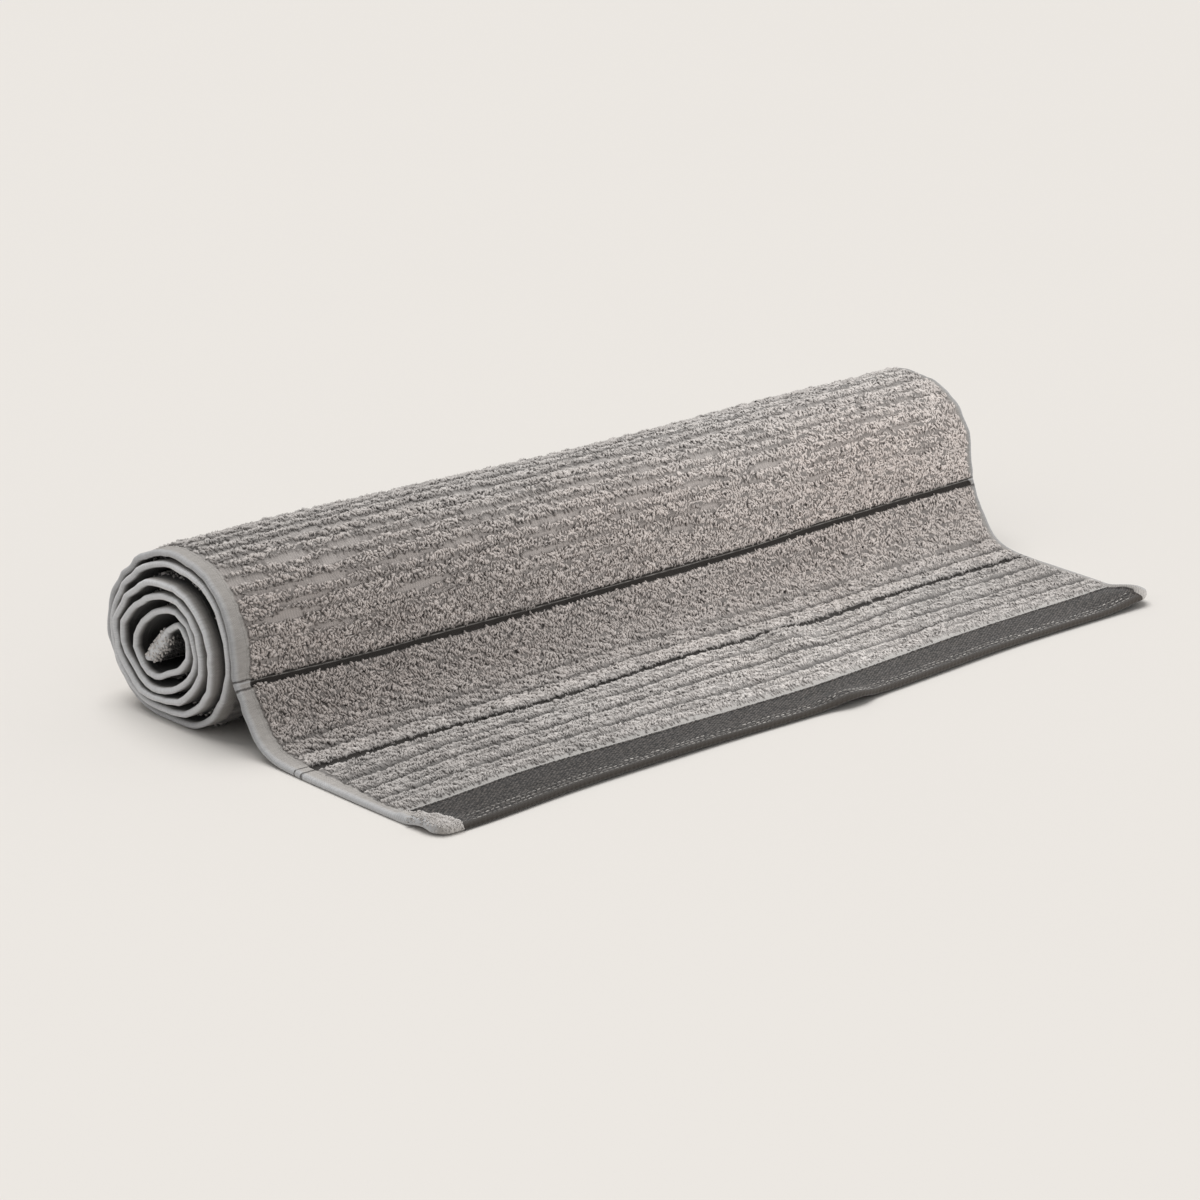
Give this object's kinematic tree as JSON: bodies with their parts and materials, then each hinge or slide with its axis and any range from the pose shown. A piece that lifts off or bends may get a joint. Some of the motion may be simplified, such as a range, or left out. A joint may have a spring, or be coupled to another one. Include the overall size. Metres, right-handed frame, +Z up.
{
  "type": "rolled bath towel",
  "caption": "Terry bath towel wound into a loose roll, its last stretch lying out flat with the striped end and the front hem showing.",
  "frame": {"origin": "under the middle of the towel's bounding box, on the surface it lies on", "axes": "+X along the roll, to the right seen from the loose end; +Y away from the loose end; +Z up"},
  "size_m": [0.707, 0.345, 0.1208],
  "materials": {
    "terry": "light warm grey cotton terry with ribs of loops along the roll, woven charcoal stripes and a charcoal end border"
  },
  "bodies": {
    "root": {"towel": "terry"}
  },
  "joints": []
}
